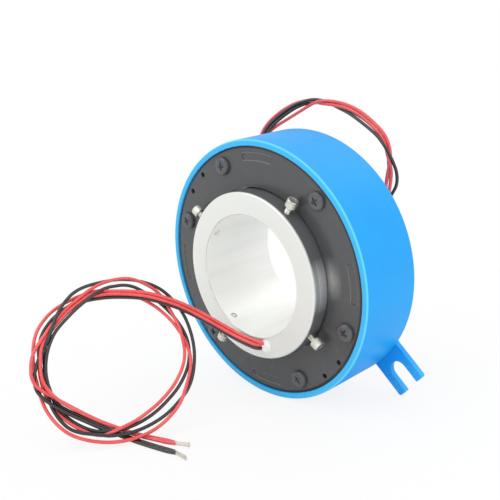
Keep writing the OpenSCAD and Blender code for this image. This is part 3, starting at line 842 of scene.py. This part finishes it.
# %% [markdown]
# ## Turned, milled and moulded pieces
#
# The solids already have the right form. Real edges are broken by a small chamfer or radius,
# which catches the light. `dress` copies a solid, joins its loose triangles, rounds its
# sharp edges by a given width, and shades the rest smooth.

# %% Dress a solid


SHARP = math.radians(30)
FLAT = math.radians(0.6)


def dress(node, width):
    """A copy of a solid with rounded edges; a wide rounding gets more facets."""
    mesh = frame["nodes"][node].data.copy()
    work = bmesh.new()
    work.from_mesh(mesh)
    bmesh.ops.remove_doubles(work, verts=work.verts, dist=1e-6)
    bmesh.ops.dissolve_limit(work, angle_limit=FLAT, verts=work.verts, edges=work.edges)
    work.to_mesh(mesh)
    work.free()
    piece = bpy.data.objects.new(node + "_dressed", mesh)
    scene.collection.objects.link(piece)
    edges = piece.modifiers.new("edges", "BEVEL")
    edges.width = width * MM
    edges.segments = 2 if width < 1 else 4
    edges.limit_method = "ANGLE"
    edges.angle_limit = SHARP
    edges.harden_normals = True
    piece = as_mesh(piece)
    piece.data.shade_smooth()
    piece.data.set_sharp_from_angle(angle=SHARP)
    even = piece.modifiers.new("normals", "WEIGHTED_NORMAL")
    even.keep_sharp = True
    settle_piece(as_mesh(piece), node)


def settle_piece(piece, node):
    """Give a piece its finish, and let it stand in for a solid and ride on its body."""
    slot = slot_of[node]
    piece.data.materials.clear()
    piece.data.materials.append(finishes[slot])
    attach(piece, frame["nodes"][node]["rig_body"])
    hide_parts(node)


EDGES = {
    "housing_shell": 0.25, "front_cover": 0.18, "torque_fork": 1.4, "rotor_sleeve": 0.2,
    "rotor_collar": 0.25, "front_bearing_outer_race": 0.2, "rear_bearing_outer_race": 0.2,
    "front_bearing_inner_race": 0.2, "rear_bearing_inner_race": 0.2,
    "front_bearing_cage": 0.1, "rear_bearing_cage": 0.1, "insulating_tube": 0.1,
    "contact_ring_a": 0.1, "contact_ring_b": 0.1, "ring_barriers": 0.15, "rear_spacer": 0.15,
    "retaining_ring": 0.12, "brush_block_upper": 0.3, "brush_block_lower": 0.3,
    "brush_wires_upper": 0.08, "brush_wires_lower": 0.08, "brush_leads": 0.05,
    "ring_leads": 0.05, "stator_lead_grommet": 0.2, "rotor_lead_grommet": 0.2,
}
for node, width in EDGES.items():
    dress(node, width)
print("dressed:", len(EDGES))

# %% [markdown]
# ## Small turned parts
#
# Screws and balls are surfaces round an axis whose radius changes with the height, and for a
# knurl, a hexagon or a cross also with the angle. `stack` builds such a piece from rings, each
# a height and a radius or a rule for the radius. One rule serves for every recess.

# %% Rings round an axis


def stack(name, rings, sides=72):
    """A closed surface through rings of (height, radius or rule of the angle), upwards."""
    work = bmesh.new()
    angles = [2 * math.pi * k / sides for k in range(sides)]
    rows = []
    for height, radius in rings:
        rule = radius if callable(radius) else (lambda angle, r=radius: r)
        rows.append([work.verts.new((rule(a) * math.cos(a) * MM, rule(a) * math.sin(a) * MM,
                                     height * MM)) for a in angles])
    for low, high in zip(rows, rows[1:]):
        for k in range(sides):
            work.faces.new((low[k], low[k - sides + 1], high[k - sides + 1], high[k]))
    work.faces.new(rows[0][::-1])
    work.faces.new(rows[-1])
    bmesh.ops.recalc_face_normals(work, faces=work.faces)
    mesh = bpy.data.meshes.new(name)
    work.to_mesh(mesh)
    work.free()
    mesh.shade_smooth()
    mesh.set_sharp_from_angle(angle=math.radians(32))
    piece = bpy.data.objects.new(name, mesh)
    scene.collection.objects.link(piece)
    return piece


def hexagon(across_flats):
    return lambda a: across_flats / 2 / math.cos((a % (math.pi / 3)) - math.pi / 6)


def cross(length, width):
    def rule(a):
        c, s = abs(math.cos(a)) + 1e-9, abs(math.sin(a)) + 1e-9
        return max(min(length / 2 / c, width / 2 / s), min(length / 2 / s, width / 2 / c))
    return rule


def knurl(radius, depth, teeth):
    return lambda a: radius - depth * (0.5 + 0.5 * math.cos(teeth * a))


def thread(radius, depth, pitch, bottom, top):
    """Rings of a right-hand thread: the crest climbs as the angle goes round."""
    rings = []
    steps = max(2, round((top - bottom) / pitch * 5))
    for i in range(steps + 1):
        height = bottom + (top - bottom) * i / steps
        fade = min(1.0, (height - bottom) / pitch, (top - height) / pitch)

        def rule(a, height=height, fade=fade):
            phase = (height / pitch - a / (2 * math.pi)) % 1.0
            return radius - depth * fade * abs(2 * phase - 1)
        rings.append((height, rule))
    return rings


print("hexagon corner:", round(hexagon(3.0)(0), 3))

# %% [markdown]
# ## Fastener heads
#
# The cover screws are black M6 pan heads with a cross recess. The clamp screws are M4 socket
# heads with a knurled side and a hexagon for the key. Their threads run through the collar
# and the sleeve to grip the shaft.

# %% Model the fasteners


def pan_head(name, radius, height, shank_r, length, pitch=1.0):
    """Flat side at height 0, shank downwards, cross recess in the dome."""
    dome = height * 0.65
    arc = [(height * 0.35 + dome * math.sin(t), radius - dome + dome * math.cos(t))
           for t in np.radians(np.arange(0, 76, 15))]
    slot_mouth, slot_floor = height * 0.98, height * 0.4
    rings = [(-length, shank_r * 0.8)]
    rings += thread(shank_r, 0.264 * pitch, pitch, -length + 0.4, -0.5)
    rings += [(-0.5, shank_r), (0, shank_r), (0, radius - 0.25), (0.25, radius),
              *arc, (slot_mouth, radius * 0.55),
              (slot_mouth + 0.02, cross(radius * 0.98, radius * 0.28)),
              (slot_mouth - 0.25, cross(radius * 0.90, radius * 0.22)),
              (slot_floor, cross(radius * 0.62, radius * 0.17)),
              (slot_floor - 0.1, radius * 0.05)]
    return stack(name, rings, 96)


def socket_head(name, radius, height, shank_r, length):
    """Head outwards from height 0 up, shank downwards with a cup point, hexagon in the top."""
    rings = [(height - length + 0.7, 0.3), (height - length, shank_r * 0.55),
             (height - length, shank_r * 0.72)]
    rings += thread(shank_r, 0.3, 0.7, height - length + 0.5, -1.2)
    rings += [(-1.0, shank_r), (-0.15, shank_r), (0, shank_r + 0.15), (0, radius - 0.2),
              (0.2, radius - 0.05), (0.35, knurl(radius, 0.16, 30)),
              (height - 0.75, knurl(radius, 0.16, 30)), (height - 0.55, radius - 0.05),
              (height - 0.15, radius - 0.35), (height, radius - 0.7), (height, 2.05),
              (height - 0.25, hexagon(3.0)), (height - 2.4, hexagon(3.0)), (height - 2.7, 0.4)]
    return stack(name, rings, 120)


CLAMP_HEAD = 5.2
screw_forms = {
    "cover": pan_head("cover_screw_form", 5.8, 2.7, 2.9, 20),
    "fork": pan_head("fork_screw_form", 4.5, 2.8, 2.4, 8.4, 0.8),
    "block": pan_head("block_screw_form", 2.6, 1.9, 1.45, 11.1, 0.5),
    "clamp": socket_head("clamp_screw_form", 3.6, CLAMP_HEAD, 2.0, 24.0),
}
print({name: len(form.data.polygons) for name, form in screw_forms.items()})

# %% [markdown]
# ## Repeats by Geometry Nodes
#
# Identical screws and balls are one form put at many places. The places are the points of a
# small mesh, and each point carries the turn of its copy. The node tree puts the form on
# every point, makes the copies real and gives them their finish. The result is one mesh for
# each set, on one body.

# %% Put a form at many places


def repeat_tree():
    tree = bpy.data.node_groups.new("repeat_form", "GeometryNodeTree")
    tree.interface.new_socket("Places", in_out="INPUT", socket_type="NodeSocketGeometry")
    tree.interface.new_socket("Form", in_out="INPUT", socket_type="NodeSocketObject")
    tree.interface.new_socket("Finish", in_out="INPUT", socket_type="NodeSocketMaterial")
    tree.interface.new_socket("Pieces", in_out="OUTPUT", socket_type="NodeSocketGeometry")
    start = tree.nodes.new("NodeGroupInput")
    end = tree.nodes.new("NodeGroupOutput")
    form = tree.nodes.new("GeometryNodeObjectInfo")
    turn = tree.nodes.new("GeometryNodeInputNamedAttribute")
    turn.data_type = "FLOAT_VECTOR"
    turn.inputs["Name"].default_value = "turn"
    pose = tree.nodes.new("FunctionNodeEulerToRotation")
    copies = tree.nodes.new("GeometryNodeInstanceOnPoints")
    real = tree.nodes.new("GeometryNodeRealizeInstances")
    dressed = tree.nodes.new("GeometryNodeSetMaterial")
    link = tree.links.new
    link(start.outputs["Places"], copies.inputs["Points"])
    link(start.outputs["Form"], form.inputs["Object"])
    link(form.outputs["Geometry"], copies.inputs["Instance"])
    link(turn.outputs["Attribute"], pose.inputs["Euler"])
    link(pose.outputs["Rotation"], copies.inputs["Rotation"])
    link(copies.outputs["Instances"], real.inputs["Geometry"])
    link(real.outputs["Geometry"], dressed.inputs["Geometry"])
    link(start.outputs["Finish"], dressed.inputs["Material"])
    link(dressed.outputs["Geometry"], end.inputs["Pieces"])
    return tree


REPEAT = repeat_tree()


def repeat(name, form, places, node):
    """Copies of form at each place, a (point, outward direction, spin) in the part's frame."""
    mesh = bpy.data.meshes.new(name)
    mesh.from_pydata([tuple(point) for point, _, _ in places], [], [])
    turns = mesh.attributes.new("turn", "FLOAT_VECTOR", "POINT")
    for item, (_, outward, spin) in zip(turns.data, places):
        pose = outward.to_track_quat("Z", "Y").to_matrix() @ Matrix.Rotation(spin, 3, "Z")
        item.vector = pose.to_euler()
    piece = bpy.data.objects.new(name, mesh)
    scene.collection.objects.link(piece)
    nodes = piece.modifiers.new("repeat", "NODES")
    nodes.node_group = REPEAT
    values = {"Form": form, "Finish": finishes[slot_of[node]]}
    for socket in REPEAT.interface.items_tree:
        if socket.name in values:
            nodes[socket.identifier] = values[socket.name]
    settle_piece(as_mesh(piece), node)


print("inputs of the repeat:", [socket.name for socket in REPEAT.interface.items_tree])

# %% [markdown]
# ## Where the fasteners and balls are
#
# The cover's screws stand in a ring round the bore, counted from the line between two of the
# plate's threaded holes. The clamp screws point at the shaft from four sides: each has its
# angle and the distance of its head's end from the bore axis, because they are not screwed in
# equally far. The balls run halfway between the races of each bearing.

# %% Place the fasteners and balls
fork_axis = mounts["fork_slot"]["axis"]
FORK_ANGLE = math.degrees(math.atan2(fork_axis[2], fork_axis[0]))
PLATE_ANGLE = math.degrees(PLATE_TURN)
OUT_FRONT = Vector((0, -1, 0))
OUT_BACK = Vector((0, 1, 0))
COVER_FACE = -1.3
FORK_FACE = -50.8
BLOCK_FACE = -16.6
CLAMP_Z = 4.6
CLAMP_SCREWS = ((53, 64.2), (143, 63.8), (-37, 63.4), (-127, 64.2))
BRUSH_ANGLES = (79.5, -100.5)


def about(angle, across, z, radius):
    """A point beside a radius of the bore."""
    turn = math.radians(angle)
    return at(radius * math.cos(turn) - across * math.sin(turn),
              radius * math.sin(turn) + across * math.cos(turn), z)


cover_places = [(polar(72, angle + PLATE_ANGLE, COVER_FACE), OUT_FRONT, math.radians(2.3 * angle))
                for angle in (-23.3, 23.3, 90, 156.7, 203.3, 270)]
fork_places = [(about(FORK_ANGLE, side * 7, FORK_FACE, 73), OUT_BACK, math.radians(35 * side))
               for side in (-1, 1)]
block_places = [(about(angle, side * 4.6, BLOCK_FACE, 69.5), OUT_FRONT, math.radians(50 * side))
                for angle in BRUSH_ANGLES for side in (-1, 1)]
clamp_places = [(polar(reach - CLAMP_HEAD, angle, CLAMP_Z), polar(1, angle, 0).normalized(),
                 math.radians(angle)) for angle, reach in CLAMP_SCREWS]
for name, form, places, node in (
        ("cover_screw_set", "cover", cover_places, "cover_screws"),
        ("fork_screw_set", "fork", fork_places, "fork_screws"),
        ("block_screw_set", "block", block_places, "brush_block_screws"),
        ("clamp_screw_set", "clamp", clamp_places, "clamp_screws")):
    repeat(name, screw_forms[form], places, node)
for form in screw_forms.values():
    bpy.data.objects.remove(form)

BALLS = 24
BALL_R = 2.5
ball = stack("ball_form", [(-BALL_R * math.cos(t), BALL_R * math.sin(t))
                           for t in np.linspace(0.02, math.pi - 0.02, 17)], 32)
ball.data.set_sharp_from_angle(angle=math.pi)
for bearing in ("front", "rear"):
    low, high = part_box(bearing + "_bearing_balls")
    pitch_r = high.x / MM - BALL_R
    places = [(polar(pitch_r, 360 * k / BALLS, -(low.y + high.y) / 2 / MM), OUT_FRONT, 0.0)
              for k in range(BALLS)]
    repeat(bearing + "_ball_set", ball, places, bearing + "_bearing_balls")
bpy.data.objects.remove(ball)
print("fasteners and balls placed; fork at", round(FORK_ANGLE, 2), "degrees")
